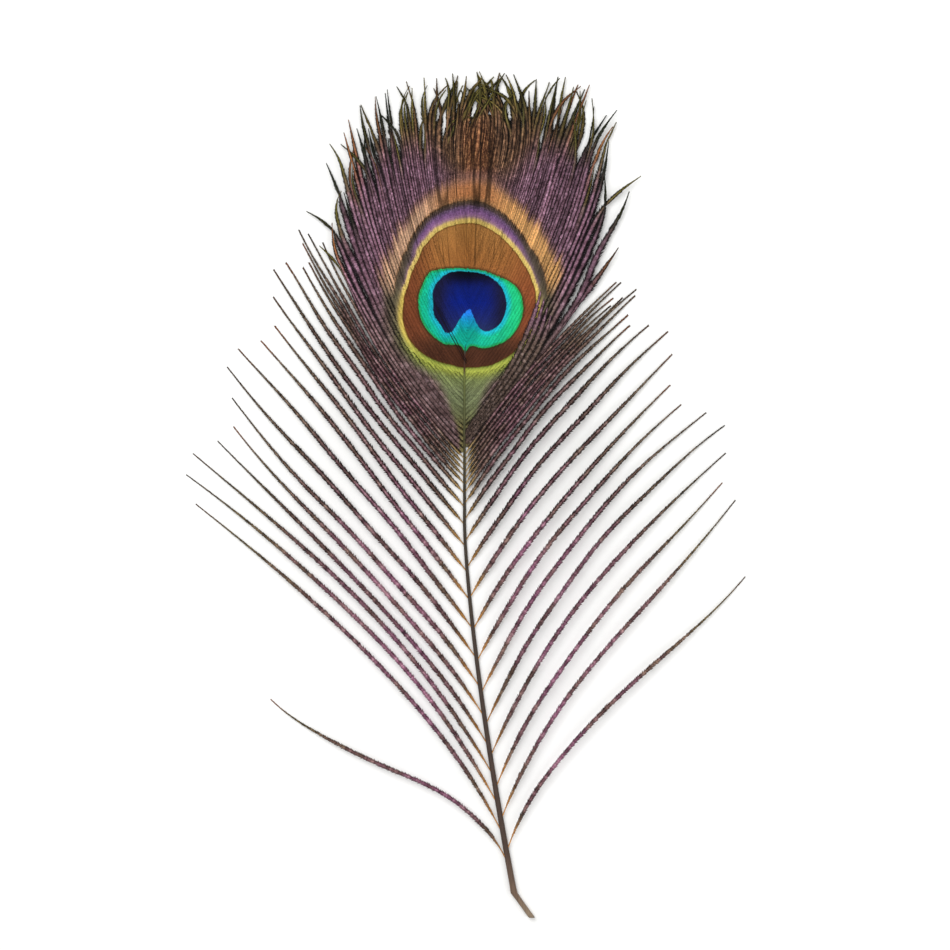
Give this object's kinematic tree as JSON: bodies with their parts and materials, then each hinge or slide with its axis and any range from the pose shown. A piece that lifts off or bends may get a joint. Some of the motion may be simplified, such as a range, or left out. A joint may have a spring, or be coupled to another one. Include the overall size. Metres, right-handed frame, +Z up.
{
  "type": "peacock feather",
  "caption": "Cut peacock train feather lying flat, with a bent quill, a whole eye spot, a fringed crown and loose barbs down both sides of the shaft",
  "frame": {"origin": "middle of the box that holds the whole feather, on the table it lies on", "axes": "+Y from the quill to the crown, +X to the right-hand barbs with the coloured face up, +Z up off the table"},
  "size_m": [0.1846, 0.28, 0.004],
  "materials": {
    "shaft": "dull dark brown horn, paler at the cut end",
    "vane": "close-set iridescent barbs: blue, turquoise, bronze, yellow and violet rings, mauve crown",
    "loose_barb": "iridescent mauve and bronze barbs with orange roots"
  },
  "bodies": {
    "root": {"shaft": "shaft", "left_vane": "vane", "left_barb_01": "loose_barb", "left_barb_02": "loose_barb", "left_barb_03": "loose_barb", "left_barb_04": "loose_barb", "left_barb_05": "loose_barb", "left_barb_06": "loose_barb", "left_barb_07": "loose_barb", "left_barb_08": "loose_barb", "left_barb_09": "loose_barb", "left_barb_10": "loose_barb", "left_barb_11": "loose_barb", "left_barb_12": "loose_barb", "left_barb_13": "loose_barb", "left_barb_14": "loose_barb", "left_barb_15": "loose_barb", "left_barb_16": "loose_barb", "left_barb_17": "loose_barb", "left_barb_18": "loose_barb", "left_barb_19": "loose_barb", "left_barb_20": "loose_barb", "right_vane": "vane", "right_barb_01": "loose_barb", "right_barb_02": "loose_barb", "right_barb_03": "loose_barb", "right_barb_04": "loose_barb", "right_barb_05": "loose_barb", "right_barb_06": "loose_barb", "right_barb_07": "loose_barb", "right_barb_08": "loose_barb", "right_barb_09": "loose_barb", "right_barb_10": "loose_barb", "right_barb_11": "loose_barb", "right_barb_12": "loose_barb", "right_barb_13": "loose_barb", "right_barb_14": "loose_barb", "right_barb_15": "loose_barb", "right_barb_16": "loose_barb", "right_barb_17": "loose_barb", "right_barb_18": "loose_barb", "right_barb_19": "loose_barb", "right_barb_20": "loose_barb"}
  },
  "joints": []
}
